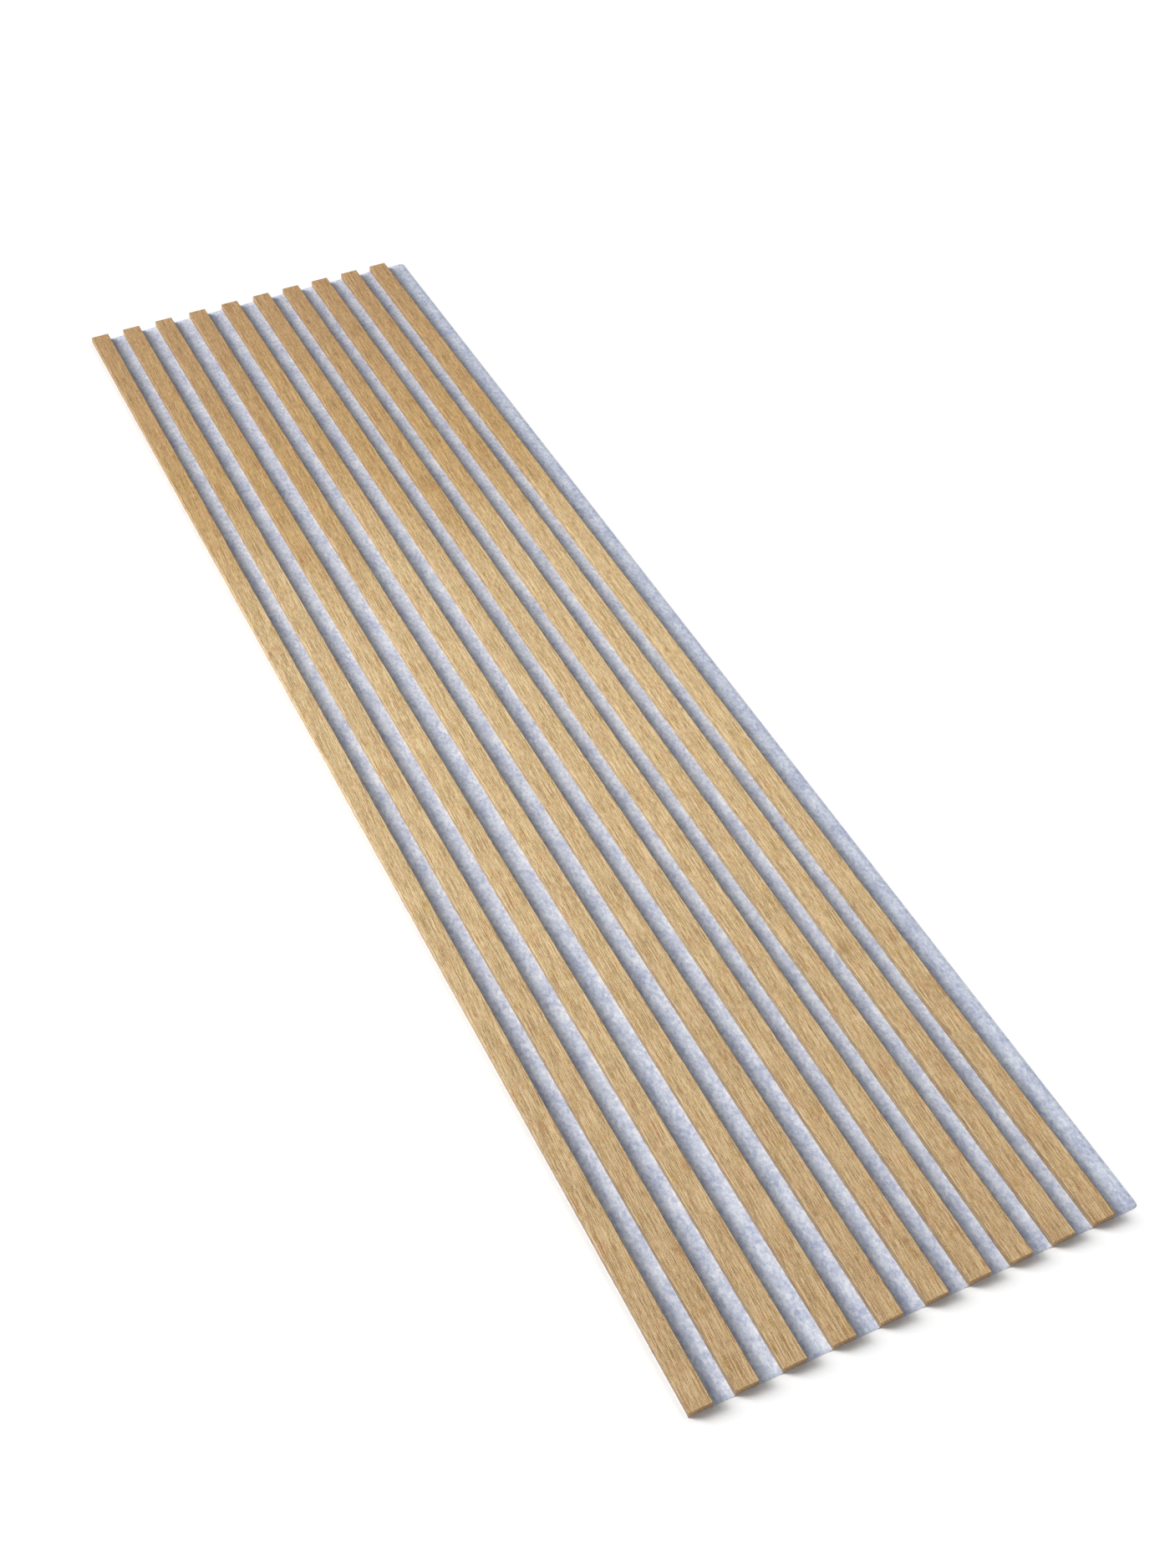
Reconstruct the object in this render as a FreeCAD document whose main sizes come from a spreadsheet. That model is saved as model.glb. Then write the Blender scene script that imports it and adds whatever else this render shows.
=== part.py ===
import FreeCAD, Part
import Sketcher
import os

# Acoustic slat wall panel: wooden slats laid lengthwise on a thin felt sheet and stapled to it from behind.
# It lies on its back: X runs across the slats, Y along them and Z out of the slatted face.
# The origin is the middle of the back of the felt. Sizes are in millimetres.

DRIVING_SIZES = {
    "panel_length": 2400,
    "slat_width": 32,
    "slat_height": 11,
    "slat_arris_radius": 1,
    "felt_thickness": 1,
    "felt_margin": 38,
    "felt_corner_radius": 9,
    "staple_crown": 10,
    "staple_wire_width": 1.2,
    "staple_wire_depth": 0.6,
    "staple_end_distance": 60,
    "staple_spacing": 380,
    "staple_face_cover": 3,
}

# Clear widths from each slat to the next. The slats are not laid quite evenly.
SLAT_GAPS = (29, 32, 35, 33, 32, 29, 28, 30, 28)
GAP_NAMES = [f"gap_{number}" for number in range(1, len(SLAT_GAPS) + 1)]
SLAT_COUNT = len(SLAT_GAPS) + 1

# The felt is as wide as all the slats, all the gaps and the bare margin beyond the last slat.
FELT_WIDTH = " + ".join(
    [f"{SLAT_COUNT} * sizes.slat_width", *(f"sizes.{name}" for name in GAP_NAMES), "sizes.felt_margin"]
)
# A staple passes through the felt and stops short of the slat's face by the cover.
STAPLE_LEG = "sizes.felt_thickness + sizes.slat_height - sizes.staple_face_cover"

# Two places closer than this are the same place.
SAME_PLACE = 0.001


def fill_sheet(doc):
    """Puts every driving dimension into the sheet, one named cell each."""
    sheet = doc.addObject("Spreadsheet::Sheet", "sizes")
    rows = {**DRIVING_SIZES, **dict(zip(GAP_NAMES, SLAT_GAPS))}
    for row, (name, value) in enumerate(rows.items(), start=1):
        sheet.set(f"A{row}", name)
        sheet.set(f"B{row}", str(value))
        sheet.setAlias(f"B{row}", name)
    doc.recompute()
    return sheet


def slat_middle(index):
    """Expression for the X of a slat's middle line. The first slat is flush with the felt's edge."""
    gaps_before = [f"sizes.{name}" for name in GAP_NAMES[:index]]
    return " + ".join([f"-({FELT_WIDTH}) / 2", f"{index + 0.5} * sizes.slat_width", *gaps_before])


def add_board(doc, label, width, thickness):
    """A flat board as long as the panel, centred on its own origin, with its underside at Z = 0."""
    body = doc.addObject("PartDesign::Body", label)
    sketch = body.newObject("Sketcher::SketchObject", f"{label}_outline")
    plane = next(item for item in body.Origin.OriginFeatures if item.Role == "XY_Plane")
    sketch.AttachmentSupport = [(plane, "")]
    sketch.MapMode = "FlatFace"

    # A small square to start with, which the two dimensions stretch.
    corners = [FreeCAD.Vector(x, y, 0) for x, y in ((-1, -1), (1, -1), (1, 1), (-1, 1))]
    for number, direction in enumerate(("Horizontal", "Vertical", "Horizontal", "Vertical")):
        sketch.addGeometry(Part.LineSegment(corners[number], corners[(number + 1) % 4]))
        sketch.addConstraint(Sketcher.Constraint(direction, number))
    for number in range(4):
        sketch.addConstraint(Sketcher.Constraint("Coincident", number, 2, (number + 1) % 4, 1))
    sketch.addConstraint(Sketcher.Constraint("Symmetric", 0, 1, 2, 1, -1, 1))

    spans = {
        "across": (Sketcher.Constraint("DistanceX", 0, 1, 0, 2, 2), width),
        "along": (Sketcher.Constraint("DistanceY", 1, 1, 1, 2, 2), "sizes.panel_length"),
    }
    for name, (constraint, expression) in spans.items():
        sketch.renameConstraint(sketch.addConstraint(constraint), name)
        sketch.setExpression(f"Constraints.{name}", expression)

    pad = body.newObject("PartDesign::Pad", f"{label}_pad")
    pad.Profile = sketch
    pad.setExpression("Length", thickness)
    doc.recompute()
    return body, pad


def round_edges(doc, body, base, edges, radius):
    """Rounds the given edges of the body's last feature."""
    fillet = body.newObject("PartDesign::Fillet", f"{body.Label}_rounding")
    fillet.Base = (base, [f"Edge{number}" for number in edges])
    fillet.setExpression("Radius", radius)
    doc.recompute()


def edges_where(shape, test):
    """Numbers of the edges whose bounding box passes the test."""
    return [number for number, edge in enumerate(shape.Edges, start=1) if test(edge.BoundBox)]


def add_slat_blank(doc, index):
    """A slat with its two long top arrises rounded, lying on the felt."""
    body, pad = add_board(doc, f"slat_blank_{index + 1:02d}", "sizes.slat_width", "sizes.slat_height")
    box = pad.Shape.BoundBox
    long_top = edges_where(
        pad.Shape,
        lambda edge: box.ZMax - edge.ZMin < SAME_PLACE and edge.XLength < SAME_PLACE,
    )
    round_edges(doc, body, pad, long_top, "sizes.slat_arris_radius")
    body.setExpression("Placement.Base.x", slat_middle(index))
    body.setExpression("Placement.Base.z", "sizes.felt_thickness")
    doc.recompute()
    return body


def add_felt_blank(doc):
    """The felt sheet, with the two corners of its bare margin rounded."""
    body, pad = add_board(doc, "felt_blank", FELT_WIDTH, "sizes.felt_thickness")
    box = pad.Shape.BoundBox
    margin_corners = edges_where(
        pad.Shape,
        lambda edge: box.XMax - edge.XMin < SAME_PLACE and edge.YLength < SAME_PLACE,
    )
    round_edges(doc, body, pad, margin_corners, "sizes.felt_corner_radius")
    return body


def add_block(doc, name, sizes, corner):
    """A block of the given length, width and height, with its lowest corner at the given place."""
    block = doc.addObject("Part::Box", name)
    for side, expression in zip(("Length", "Width", "Height"), sizes):
        block.setExpression(side, expression)
    for axis, expression in zip("xyz", corner):
        block.setExpression(f"Placement.Base.{axis}", expression)
    return block


def cut(doc, label, base, tool):
    result = doc.addObject("Part::Cut", label)
    result.Base = base
    result.Tool = tool
    doc.recompute()
    return result


def add_staple(doc):
    """One staple of flat wire, points up, its crown level with the back of the felt."""
    wire = "sizes.staple_wire_depth"
    side = "-sizes.staple_wire_width / 2"
    outer = add_block(
        doc,
        "staple_outside",
        ("sizes.staple_crown", "sizes.staple_wire_width", STAPLE_LEG),
        ("-sizes.staple_crown / 2", side, "0"),
    )
    inner = add_block(
        doc,
        "staple_inside",
        (f"sizes.staple_crown - 2 * {wire}", "sizes.staple_wire_width", f"{STAPLE_LEG} - {wire}"),
        (f"{wire} - sizes.staple_crown / 2", side, wire),
    )
    return cut(doc, "staple_single", outer, inner)


def add_staple_row(doc, sheet, staple, slat, index):
    """Copies of the staple along a slat's middle line, evenly spaced between its end distances."""
    span = float(sheet.get("panel_length")) - 2 * float(sheet.get("staple_end_distance"))
    steps = max(1, round(span / float(sheet.get("staple_spacing"))))
    copies = []
    for step in range(steps + 1):
        place = FreeCAD.Vector(slat.Placement.Base.x, span * (step / steps - 0.5), 0)
        copies.append(staple.Shape.translated(place))
    row = doc.addObject("Part::Feature", f"staple_row_{index + 1:02d}")
    row.Shape = Part.makeCompound(copies)
    return row


def build(doc):
    """Makes every piece and gives back the ones that the panel is put together from."""
    sheet = fill_sheet(doc)
    staple = add_staple(doc)
    pieces = []
    rows = []
    for index in range(SLAT_COUNT):
        blank = add_slat_blank(doc, index)
        row = add_staple_row(doc, sheet, staple, blank, index)
        pieces.append(cut(doc, f"slat_{index + 1:02d}", blank, row))
        rows.append(row)

    staples = doc.addObject("Part::Feature", "staples")
    staples.Shape = Part.makeCompound([solid for row in rows for solid in row.Shape.Solids])
    felt = cut(doc, "felt_backing", add_felt_blank(doc), staples)
    return [felt, *pieces, staples]


def check(doc, pieces):
    """Stops before anything is written if an object failed or a piece is not a sound solid."""
    doc.recompute()
    for item in doc.Objects:
        if "Invalid" in item.State or "Error" in item.State:
            raise RuntimeError(f"{item.Label} failed: {item.State}")
    for piece in pieces:
        if piece.Shape.isNull() or not piece.Shape.isValid() or not piece.Shape.Solids:
            raise RuntimeError(f"{piece.Label} is not a valid solid")


def write(pieces):
    os.makedirs("parts", exist_ok=True)
    for piece in pieces:
        piece.Shape.exportStep(f"parts/{piece.Label}.step")
        box = piece.Shape.BoundBox
        sides = " x ".join(f"{side:.1f}" for side in (box.XLength, box.YLength, box.ZLength))
        print(f"{piece.Label}: solids {len(piece.Shape.Solids)}, {sides} mm")


document = FreeCAD.newDocument("slat_panel")
panel = build(document)
check(document, panel)
write(panel)
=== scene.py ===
import bmesh
import bpy
import math
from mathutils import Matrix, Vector, noise


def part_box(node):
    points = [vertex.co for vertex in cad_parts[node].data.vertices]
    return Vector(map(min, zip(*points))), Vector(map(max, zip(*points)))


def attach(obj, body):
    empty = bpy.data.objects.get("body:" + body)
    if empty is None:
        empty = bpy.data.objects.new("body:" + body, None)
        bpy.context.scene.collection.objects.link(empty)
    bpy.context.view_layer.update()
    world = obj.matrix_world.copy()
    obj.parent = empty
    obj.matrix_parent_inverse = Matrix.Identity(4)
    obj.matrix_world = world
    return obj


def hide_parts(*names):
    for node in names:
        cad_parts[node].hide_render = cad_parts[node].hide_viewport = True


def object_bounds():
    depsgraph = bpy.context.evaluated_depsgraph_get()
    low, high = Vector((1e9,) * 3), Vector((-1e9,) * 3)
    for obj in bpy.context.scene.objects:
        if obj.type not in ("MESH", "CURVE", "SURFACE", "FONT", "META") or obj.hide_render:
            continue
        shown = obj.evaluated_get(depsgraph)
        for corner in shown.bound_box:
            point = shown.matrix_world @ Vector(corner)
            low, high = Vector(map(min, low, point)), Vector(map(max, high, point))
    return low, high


# Acoustic slat wall panel, lying on its back: X runs across the slats, Y along them, Z out of the face.
# Sizes in the dictionaries are millimetres where nothing else is said, and mm turns them into metres.
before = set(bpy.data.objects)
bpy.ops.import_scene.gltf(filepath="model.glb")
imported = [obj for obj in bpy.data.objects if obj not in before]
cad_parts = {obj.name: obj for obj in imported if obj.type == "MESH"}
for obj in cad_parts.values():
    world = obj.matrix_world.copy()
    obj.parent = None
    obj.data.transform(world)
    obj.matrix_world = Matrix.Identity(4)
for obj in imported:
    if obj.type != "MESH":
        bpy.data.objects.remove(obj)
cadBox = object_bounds()
mm = 0.001
slatNames = sorted(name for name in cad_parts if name.startswith("slat_"))
print("frame loaded:", len(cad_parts), "nodes,", len(slatNames), "of them slats")


def linear(hexColour):
    # sRGB hex to the linear numbers that a colour socket takes
    channels = [int(hexColour[at:at + 2], 16) / 255 for at in (1, 3, 5)]
    return [c / 12.92 if c <= 0.04045 else ((c + 0.055) / 1.055) ** 2.4 for c in channels] + [1.0]


def addNode(tree, kind, settings=None, links=None):
    # settings are the node's properties and unlinked inputs
    # links are the outputs that feed its other inputs
    node = tree.nodes.new("ShaderNode" + kind)
    for name, value in (settings or {}).items():
        if name in node.bl_rna.properties.keys():
            setattr(node, name, value)
        else:
            node.inputs[name].default_value = value
    for name, source in (links or {}).items():
        tree.links.new(source, node.inputs[name])
    return node


mixA, mixB, mixResult = 6, 7, 2  # a Mix node's colour sockets


def startMaterial(name, settings):
    material = bpy.data.materials.new(name)
    material.use_nodes = True
    tree = material.node_tree
    tree.nodes.clear()
    shader = addNode(tree, "BsdfPrincipled", settings)
    addNode(tree, "OutputMaterial", links={"Surface": shader.outputs["BSDF"]})
    return material, tree, shader


def stretchedNoise(tree, coords, across, along, detail=2.0, turn=0.0):
    # marks about as wide and as long as given in mm, turned in the panel's plane by some degrees
    size = (1 / (across * mm), 1 / (along * mm), 1 / (across * mm))
    settings = {"Scale": size, "Rotation": (0, 0, math.radians(turn))}
    placed = addNode(tree, "Mapping", settings, {"Vector": coords})
    pattern = addNode(tree, "TexNoise", {"Scale": 1.0, "Detail": detail},
                      {"Vector": placed.outputs["Vector"]})
    return pattern.outputs["Fac"]


def summedMarks(tree, coords, marks, detail):
    # adds up the noises for marks given as width, length and weight; the sum lies about zero
    total = None
    for width, length, weight in marks:
        settings = {"operation": "MULTIPLY_ADD", 1: weight, 2: -sum(mark[2] for mark in marks) / 2}
        links = {0: stretchedNoise(tree, coords, width, length, detail)}
        if total:
            links[2] = total
        total = addNode(tree, "Math", settings, links).outputs[0]
    return total


def between(tree, value, low, high, toLow=0.0, toHigh=1.0):
    # eases from toLow to toHigh while the value goes from low to high
    settings = {"interpolation_type": "SMOOTHSTEP", 1: low, 2: high, 3: toLow, 4: toHigh}
    return addNode(tree, "MapRange", settings, {"Value": value}).outputs["Result"]


# Oak veneer, brushed and matt lacquered: a tan ground with fine dark pores and cream fibres along the slat,
# faint pink and yellow clouds, and a paler stretch across the middle of every slat.
oakLook = {
    "groundTone": "#CDB081",
    "pinkTone": "#C98F63",
    "yellowTone": "#C29B50",
    "creamColour": "#F1D8A9",
    "poreColour": "#7C5E34",
    "pinkShare": 0.5,
    "yellowShare": 0.5,
    "creamShare": 0.66,
    "poreShare": 0.62,
    "smudgeShare": 0.2,
    # width, length and weight of the grain's marks; the finest are as coarse as they need to be to show
    "marks": ((1.2, 2.0, 0.6), (1.1, 11.0, 0.8), (1.1, 55.0, 1.1), (5.0, 140.0, 0.2)),
    "markDetail": 1.0,
    "grainLean": 2.5,  # degrees
    "grainContrast": 0.2,
    "grooveDepth": 0.02,
    # width and length of the clouds of colour, and the noise levels where they begin and are full
    "pinkCloud": (12.0, 32.0),
    "yellowCloud": (10.0, 26.0),
    "yellowTurn": 4.0,  # degrees
    "cloudLevels": (0.5, 0.75),
    "smudgeMark": (9.0, 30.0),
    "smudgeTurn": 40.0,  # degrees
    "smudgeLevels": (0.62, 0.8),
    # tints of the two ends, and the places along the slat where these begin and are full
    "nearTint": "#E4DEDC",
    "farTint": "#E7DAC2",
    "farEndTint": "#F0ECF2",
    "nearFull": -1400.0,
    "nearUpTo": -100.0,
    "farFrom": 240.0,
    "farFull": 620.0,
    # how far those places move from slat to slat, and how far clouds of the given size make them wander
    "slatShift": 160.0,
    "wander": 250.0,
    "wanderCloud": (30.0, 60.0),
    # Painted shade: this tint darkens the slats' sides, less towards the far end.
    "paintedSideShade": "#B4B4B4",
    "farSideFade": 0.5,  # what is left of the side tint towards the far end
    "endTint": "#FFF3EC",
    "turnedAway": (0.2, 0.9),  # how far a face turns sideways before its tint begins and is full
}


def makeOak():
    look = oakLook
    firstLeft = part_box(slatNames[0])[0].x
    pitch = (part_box(slatNames[-1])[0].x - firstLeft) / (len(slatNames) - 1)
    material, tree, shader = startMaterial("brushed_oak", {"Roughness": 0.6, "IOR": 1.5})
    coords = addNode(tree, "TexCoord")
    place = addNode(tree, "SeparateXYZ", links={"Vector": coords.outputs["Object"]})

    # The slat's number, counted across the panel, moves its pale stretch along by a chance amount.
    # The slats are not evenly laid, so the count starts a part of a pitch early.
    early = 0.2
    settings = {"operation": "MULTIPLY_ADD", 1: 1 / pitch, 2: early - firstLeft / pitch}
    counted = addNode(tree, "Math", settings, {0: place.outputs["X"]})
    slatNumber = addNode(tree, "Math", {"operation": "FLOOR"}, {0: counted.outputs[0]})
    chance = addNode(tree, "TexWhiteNoise", {"noise_dimensions": "1D"}, {"W": slatNumber.outputs[0]})
    shifted = addNode(tree, "Math", {"operation": "MULTIPLY_ADD", 1: look["slatShift"] * mm},
                      {0: chance.outputs["Value"], 2: place.outputs["Y"]})
    wandered = addNode(tree, "Math", {"operation": "MULTIPLY_ADD", 1: look["wander"] * mm},
                       {0: stretchedNoise(tree, coords.outputs["Object"], *look["wanderCloud"]),
                        2: shifted.outputs[0]})
    settings = {"operation": "SUBTRACT", 1: (look["wander"] + look["slatShift"]) * mm / 2}
    along = addNode(tree, "Math", settings, {0: wandered.outputs[0]}).outputs[0]

    # The grain leans a little across the slat. Its marks are added up and turned into dark and pale lines.
    lean = addNode(tree, "Mapping", {"Rotation": (0, 0, math.radians(look["grainLean"]))},
                   {"Vector": coords.outputs["Object"]})
    grain = lean.outputs["Vector"]
    tone = summedMarks(tree, grain, look["marks"], look["markDetail"])
    contrast = look["grainContrast"]
    pores = addNode(tree, "MapRange", {1: 0.0, 2: -contrast}, {"Value": tone}).outputs["Result"]
    cream = addNode(tree, "MapRange", {1: 0.0, 2: contrast}, {"Value": tone}).outputs["Result"]
    pinkNoise = stretchedNoise(tree, grain, *look["pinkCloud"])
    yellowNoise = stretchedNoise(tree, grain, *look["yellowCloud"], turn=look["yellowTurn"])
    smudgeNoise = stretchedNoise(tree, grain, *look["smudgeMark"], turn=look["smudgeTurn"])

    # Each layer is laid over the ones before it, the first over the ground tone.
    layers = (
        ("pinkTone", between(tree, pinkNoise, *look["cloudLevels"]), "pinkShare"),
        ("yellowTone", between(tree, yellowNoise, *look["cloudLevels"]), "yellowShare"),
        ("creamColour", cream, "creamShare"),
        ("poreColour", pores, "poreShare"),
        ("poreColour", between(tree, smudgeNoise, *look["smudgeLevels"]), "smudgeShare"),
    )
    colour = None
    for name, pattern, shareName in layers:
        share = addNode(tree, "Math", {"operation": "MULTIPLY", 1: look[shareName]}, {0: pattern})
        links = {"Factor": share.outputs[0]}
        if colour:
            links[mixA] = colour
        settings = {"data_type": "RGBA", mixA: linear(look["groundTone"]), mixB: linear(look[name])}
        colour = addNode(tree, "Mix", settings, links).outputs[mixResult]

    # The slats darken towards both ends. The sides carry painted shade, darkest at the near end.
    # The sawn ends are a little warmer.
    facing = addNode(tree, "SeparateXYZ", links={"Vector": coords.outputs["Normal"]})
    sideways = addNode(tree, "Math", {"operation": "ABSOLUTE"}, {0: facing.outputs["X"]}).outputs[0]
    endways = addNode(tree, "Math", {"operation": "ABSOLUTE"}, {0: facing.outputs["Y"]}).outputs[0]
    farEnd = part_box(slatNames[0])[1].y
    sideFade = between(tree, along, look["nearFull"] * mm, look["farFrom"] * mm, 1.0, look["farSideFade"])
    # Painted shade: a mask over the sides, weaker towards the far end.
    paintedSideMask = addNode(tree, "Math", {"operation": "MULTIPLY"},
                        {0: between(tree, sideways, *look["turnedAway"]), 1: sideFade})
    tints = (
        ("nearTint", between(tree, along, look["nearFull"] * mm, look["nearUpTo"] * mm, 1.0, 0.0)),
        ("farTint", between(tree, along, look["farFrom"] * mm, look["farFull"] * mm)),
        ("farEndTint", between(tree, along, look["farFull"] * mm, farEnd)),
        ("paintedSideShade", paintedSideMask.outputs[0]),
        ("endTint", between(tree, endways, *look["turnedAway"])),
    )
    for name, factor in tints:
        settings = {"data_type": "RGBA", "blend_type": "MULTIPLY", mixB: linear(look[name])}
        colour = addNode(tree, "Mix", settings, {"Factor": factor, mixA: colour}).outputs[mixResult]
    tree.links.new(colour, shader.inputs["Base Color"])
    bump = addNode(tree, "Bump", {"Strength": 1.0, "Distance": look["grooveDepth"] * mm}, {"Height": tone})
    tree.links.new(bump.outputs["Normal"], shader.inputs["Normal"])
    return material


oak = makeOak()
for name in slatNames:
    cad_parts[name].data.materials.clear()
    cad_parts[name].data.materials.append(oak)
print("oak on", len(slatNames), "slats")


# Needled polyester felt, pressed flat: pale lavender grey with blue clouds a centimetre long and a dry face.
feltLook = {
    "paleColour": "#EEF3FC",
    "blueColour": "#B1BAD7",
    "marginShare": 0.9,
    "farShare": 0.87,
    # width, length and weight of the clouds
    "clouds": ((5.0, 8.0, 0.9), (2.0, 3.2, 0.65), (1.0, 1.4, 0.3), (22.0, 40.0, 0.65)),
    "cloudDetail": 2.0,
    "cloudContrast": 0.28,
    "napDepth": 0.05,
    "cornerRadius": 9.0,
    "cornerSteps": 6,
    "rimRadius": 0.05,
    "rimSteps": 2,
    "underside": 0.02,
    "edgeTaper": 5.0,
    "edgeThickness": 0.15,
    "swell": 0.3,
    "rippleShare": 0.4,
    "ripplesPerMetre": (20.0, 12.0),
    "cutsAlong": 12.0,
    "cutsAcross": 6.0,
}


def makeFeltMaterial():
    look = feltLook
    material, tree, shader = startMaterial("needled_polyester_felt", {
        "Roughness": 0.95, "IOR": 1.45, "Specular IOR Level": 0.2,
        "Sheen Weight": 0.1, "Sheen Roughness": 0.6})
    coords = addNode(tree, "TexCoord").outputs["Object"]
    tone = summedMarks(tree, coords, look["clouds"], look["cloudDetail"])
    contrast = look["cloudContrast"]
    blue = addNode(tree, "MapRange", {1: -contrast, 2: contrast, 3: 1.0, 4: 0.0}, {"Value": tone})
    colour = addNode(tree, "Mix", {"data_type": "RGBA", mixA: linear(look["paleColour"]),
                                   mixB: linear(look["blueColour"])}, {"Factor": blue.outputs["Result"]})

    # The felt's colour is a little darker towards the bare margin and towards the far end.
    low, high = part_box("felt_backing")
    place = addNode(tree, "SeparateXYZ", links={"Vector": coords})
    drifts = (("X", low.x, high.x, look["marginShare"]), ("Y", low.y, high.y, look["farShare"]))
    for axis, start, stop, share in drifts:
        drift = addNode(tree, "MapRange", {1: start, 2: stop, 3: 1.0, 4: share},
                        {"Value": place.outputs[axis]})
        colour = addNode(tree, "Mix", {"data_type": "RGBA", "blend_type": "MULTIPLY", "Factor": 1.0},
                         {mixA: colour.outputs[mixResult], mixB: drift.outputs["Result"]})
    tree.links.new(colour.outputs[mixResult], shader.inputs["Base Color"])
    bump = addNode(tree, "Bump", {"Strength": 1.0, "Distance": look["napDepth"] * mm}, {"Height": tone})
    tree.links.new(bump.outputs["Normal"], shader.inputs["Normal"])
    return material


def buildFelt():
    look = feltLook
    sameLevel = 0.01 * mm  # points closer than this in height are level
    low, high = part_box("felt_backing")
    middle = (low + high) / 2
    sheet = bmesh.new()
    bmesh.ops.create_grid(sheet, x_segments=1, y_segments=1, size=0.5)
    bmesh.ops.scale(sheet, vec=(high.x - low.x, high.y - low.y, 1), verts=sheet.verts)
    bmesh.ops.translate(sheet, vec=(middle.x, middle.y, high.z), verts=sheet.verts)

    # The two corners of the bare margin are rounded.
    marginCorners = [corner for corner in sheet.verts if corner.co.x > middle.x]
    bmesh.ops.bevel(sheet, geom=marginCorners, affect="VERTICES", offset=look["cornerRadius"] * mm,
                    segments=look["cornerSteps"], profile=0.5, material=-1)
    pulled = bmesh.ops.extrude_face_region(sheet, geom=sheet.faces[:])
    lower = [part for part in pulled["geom"] if isinstance(part, bmesh.types.BMVert)]
    bmesh.ops.translate(sheet, vec=(0, 0, look["underside"] * mm - high.z), verts=lower)
    bmesh.ops.recalc_face_normals(sheet, faces=sheet.faces)
    rim = [edge for edge in sheet.edges if abs(edge.verts[0].co.z - edge.verts[1].co.z) < sameLevel]
    bmesh.ops.bevel(sheet, geom=rim, affect="EDGES", offset=look["rimRadius"] * mm,
                    segments=look["rimSteps"], profile=0.5, material=-1)

    # Cuts through the whole sheet give it the points to swell between the slats and to thin at its edges.
    # One more along each slat's middle keeps the faces under the slat narrow.
    # The bare margin counts as a gap that reaches past the edge, so that the edge's own points belong to it.
    pastEdge = 1 * mm
    slatSides = [(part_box(name)[0].x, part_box(name)[1].x) for name in slatNames]
    gaps = [(slatSides[at][1], slatSides[at + 1][0]) for at in range(len(slatSides) - 1)]
    gaps.append((slatSides[-1][1], high.x + pastEdge))
    taper = look["edgeTaper"] * mm
    acrossCuts = [low.x + taper, high.x - taper]
    acrossCuts += [(left + right) / 2 for left, right in slatSides]
    for left, right in gaps:
        steps = math.ceil((right - left) / (look["cutsAcross"] * mm))
        acrossCuts += [left + (right - left) * step / steps for step in range(steps + 1)]
    rows = round((high.y - low.y) / (look["cutsAlong"] * mm))
    alongCuts = [low.y + (high.y - low.y) * row / rows for row in range(1, rows)]
    alongCuts += [low.y + taper, high.y - taper]
    for cuts, normal in ((acrossCuts, Vector((1, 0, 0))), (alongCuts, Vector((0, 1, 0)))):
        for cut in cuts:
            everything = sheet.verts[:] + sheet.edges[:] + sheet.faces[:]
            bmesh.ops.bisect_plane(sheet, geom=everything, plane_co=normal * cut, plane_no=normal,
                                   dist=sameLevel / 10)

    # The swell is highest along a gap's middle, with slow ripples.
    acrossRipples, alongRipples = look["ripplesPerMetre"]
    top = high.z - sameLevel
    thin = (look["underside"] + look["edgeThickness"]) * mm
    for point in sheet.verts:
        gap = next(((left, right) for left, right in gaps if left < point.co.x < right), None)
        if gap and point.co.z > top:
            rise = 1 - (2 * (point.co.x - gap[0]) / (gap[1] - gap[0]) - 1) ** 2
            wave = noise.noise(Vector((point.co.x * acrossRipples, point.co.y * alongRipples, 0)))
            ripple = 1 - look["rippleShare"] + look["rippleShare"] * wave
            point.co.z += look["swell"] * mm * rise * ripple
        if gap and point.co.z > thin:
            # The free edges between the slats and along the margin are pressed thin.
            inward = min(high.x - point.co.x, point.co.y - low.y, high.y - point.co.y) / taper
            point.co.z = min(point.co.z, thin + (point.co.z - thin) * max(inward, 0))
    mesh = bpy.data.meshes.new("felt_sheet")
    sheet.to_mesh(mesh)
    sheet.free()
    mesh.shade_smooth()
    piece = bpy.data.objects.new("felt_sheet", mesh)
    bpy.context.scene.collection.objects.link(piece)
    piece.data.materials.append(makeFeltMaterial())
    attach(piece, "root")
    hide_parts("felt_backing")
    return piece


felt = buildFelt()
print("felt sheet:", len(felt.data.polygons), "faces")


# Galvanised steel wire, drawn flat: bright grey with a faint spangle.
stapleLook = {
    "brightColour": "#C3C6C9",
    "dullColour": "#9DA2A6",
    "spangle": 1.5,
}


def makeStapleSteel():
    material, tree, shader = startMaterial("galvanised_steel_wire", {"Metallic": 1.0, "Roughness": 0.38})
    coords = addNode(tree, "TexCoord").outputs["Object"]
    spangle = stretchedNoise(tree, coords, stapleLook["spangle"], stapleLook["spangle"])
    colour = addNode(tree, "Mix", {"data_type": "RGBA", mixA: linear(stapleLook["brightColour"]),
                                   mixB: linear(stapleLook["dullColour"])}, {"Factor": spangle})
    tree.links.new(colour.outputs[mixResult], shader.inputs["Base Color"])
    return material


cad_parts["staples"].data.materials.clear()
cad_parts["staples"].data.materials.append(makeStapleSteel())
print("steel on the staples")


# A white floor and white surroundings. Only camera, mirror and see-through rays meet the full white, and the
# rays that light the panel meet the weaker sky light.
stageLook = {
    "floorSize": 30.0,  # metres
    "floorBelow": 0.02,
    "floorColour": "#FFFFFF",
    # painted shade on the paper near the panel: its reach in mm, its darkest share and its samples
    "contactReach": 12.0,
    "paintedContactShade": 0.75,
    "contactSamples": 8,
    "skyLight": 0.32,
}


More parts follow.
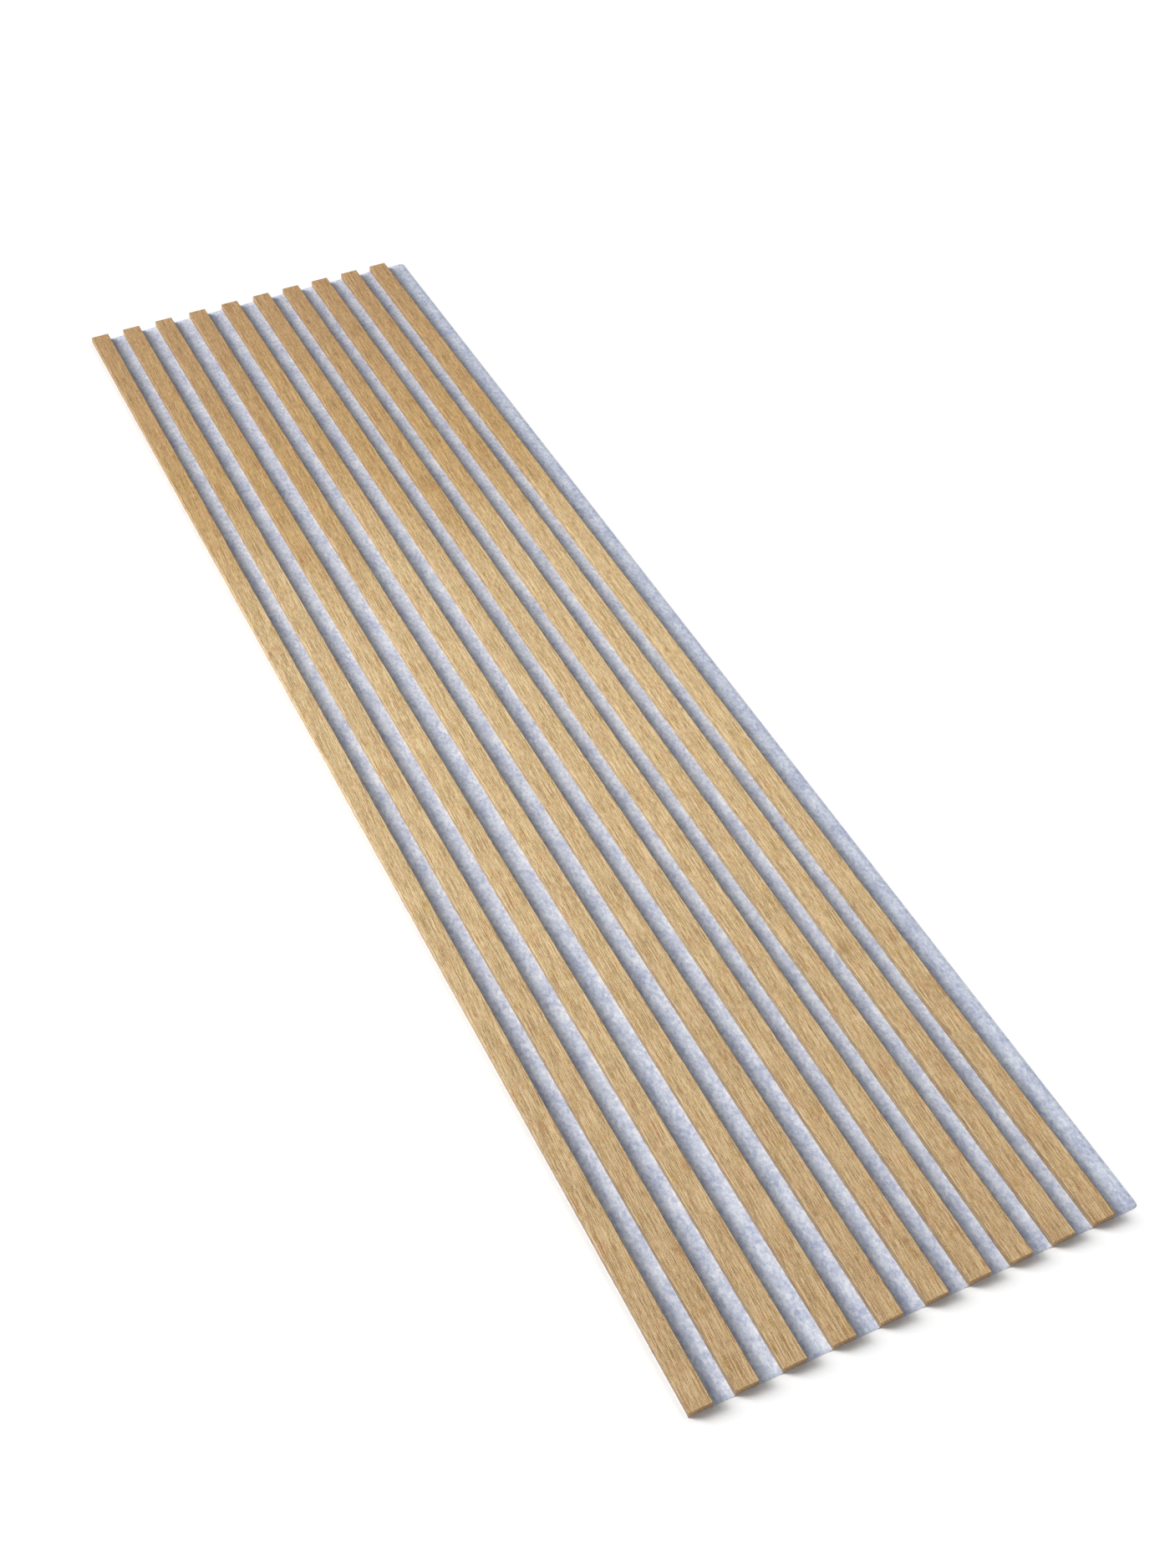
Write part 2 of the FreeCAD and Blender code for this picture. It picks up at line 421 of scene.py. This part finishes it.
def seenDirectly(tree):
    # 1 for the rays that show the surroundings to the eye, 0 for those that only light the object
    path = addNode(tree, "LightPath")
    direct = addNode(tree, "Math", {"operation": "MAXIMUM"},
                     {0: path.outputs["Is Camera Ray"], 1: path.outputs["Is Glossy Ray"]})
    direct = addNode(tree, "Math", {"operation": "MAXIMUM"},
                     {0: direct.outputs[0], 1: path.outputs["Is Transmission Ray"]})
    return direct.outputs[0]


def buildStage():
    look = stageLook
    grid = bmesh.new()
    bmesh.ops.create_grid(grid, x_segments=1, y_segments=1, size=look["floorSize"] / 2)
    bmesh.ops.translate(grid, vec=(0, 0, cadBox[0].z - look["floorBelow"] * mm), verts=grid.verts)
    mesh = bpy.data.meshes.new("floor")
    grid.to_mesh(mesh)
    grid.free()
    floor = bpy.data.objects.new("floor", mesh)
    bpy.context.scene.collection.objects.link(floor)

    # White paper, with painted shade: where the panel's upright sides hide half the sky, at their foot, the
    # paper's colour is darkened.
    settings = {"Roughness": 1.0, "Specular IOR Level": 0.0}
    material, tree, shader = startMaterial("white_paper_floor", settings)
    opened = addNode(tree, "AmbientOcclusion",
                     {"Distance": look["contactReach"] * mm, "samples": look["contactSamples"]})
    halfHidden = 0.5
    shade = addNode(tree, "MapRange", {1: halfHidden, 2: 1.0, 3: look["paintedContactShade"], 4: 1.0},
                    {"Value": opened.outputs["AO"]})
    colour = addNode(tree, "Mix", {"data_type": "RGBA", "blend_type": "MULTIPLY", "Factor": 1.0,
                                   mixA: linear(look["floorColour"])}, {mixB: shade.outputs["Result"]})
    tree.links.new(colour.outputs[mixResult], shader.inputs["Base Color"])
    floor.data.materials.append(material)

    world = bpy.data.worlds.new("white_room")
    world.use_nodes = True
    world.node_tree.nodes.clear()
    strength = between(world.node_tree, seenDirectly(world.node_tree), 0.0, 1.0, look["skyLight"], 1.0)
    background = addNode(world.node_tree, "Background", {"Color": (1, 1, 1, 1)}, {"Strength": strength})
    addNode(world.node_tree, "OutputWorld", links={"Surface": background.outputs[0]})
    bpy.context.scene.world = world


buildStage()
print("floor and surroundings in place")


# Two soft lamps from the left and a little behind. Angles are in degrees, with the azimuth counted from -X
# towards +Y. The share is the lamp's part of the light on a level surface.
lamps = {
    "window": {"height": 23.0, "azimuth": 35.0, "spread": 24.0, "share": 0.39},
    "softbox": {"height": 32.0, "azimuth": 40.0, "spread": 40.0, "share": 0.33},
}
for name, lamp in lamps.items():
    height, azimuth = math.radians(lamp["height"]), math.radians(lamp["azimuth"])
    level = math.cos(height)
    towards = Vector((-level * math.cos(azimuth), level * math.sin(azimuth), math.sin(height)))
    light = bpy.data.lights.new(name, "SUN")
    light.energy = lamp["share"] * math.pi / math.sin(height)
    light.angle = math.radians(lamp["spread"])
    holder = bpy.data.objects.new(name, light)
    holder.rotation_euler = towards.to_track_quat("Z", "Y").to_euler()
    bpy.context.scene.collection.objects.link(holder)
print("lamps:", ", ".join(lamps))


# The photograph's standpoint, in metres, with the lens and the sensor in millimetres.
cameraLook = {
    "eye": (-0.8778, -2.0853, 2.1474),
    "aim": (0.0192, -0.2489, 0.0010),
    "lens": 45.556,
    "sensor": 36.0,
}
cameraData = bpy.data.cameras.new("camera")
cameraData.lens = cameraLook["lens"]
cameraData.sensor_width = cameraLook["sensor"]
camera = bpy.data.objects.new("camera", cameraData)
camera.location = cameraLook["eye"]
camera.rotation_euler = (Vector(cameraLook["aim"]) - camera.location).to_track_quat("-Z", "Y").to_euler()
bpy.context.scene.collection.objects.link(camera)
bpy.context.scene.camera = camera
bpy.context.scene.view_settings.view_transform = "Standard"
print("camera set")
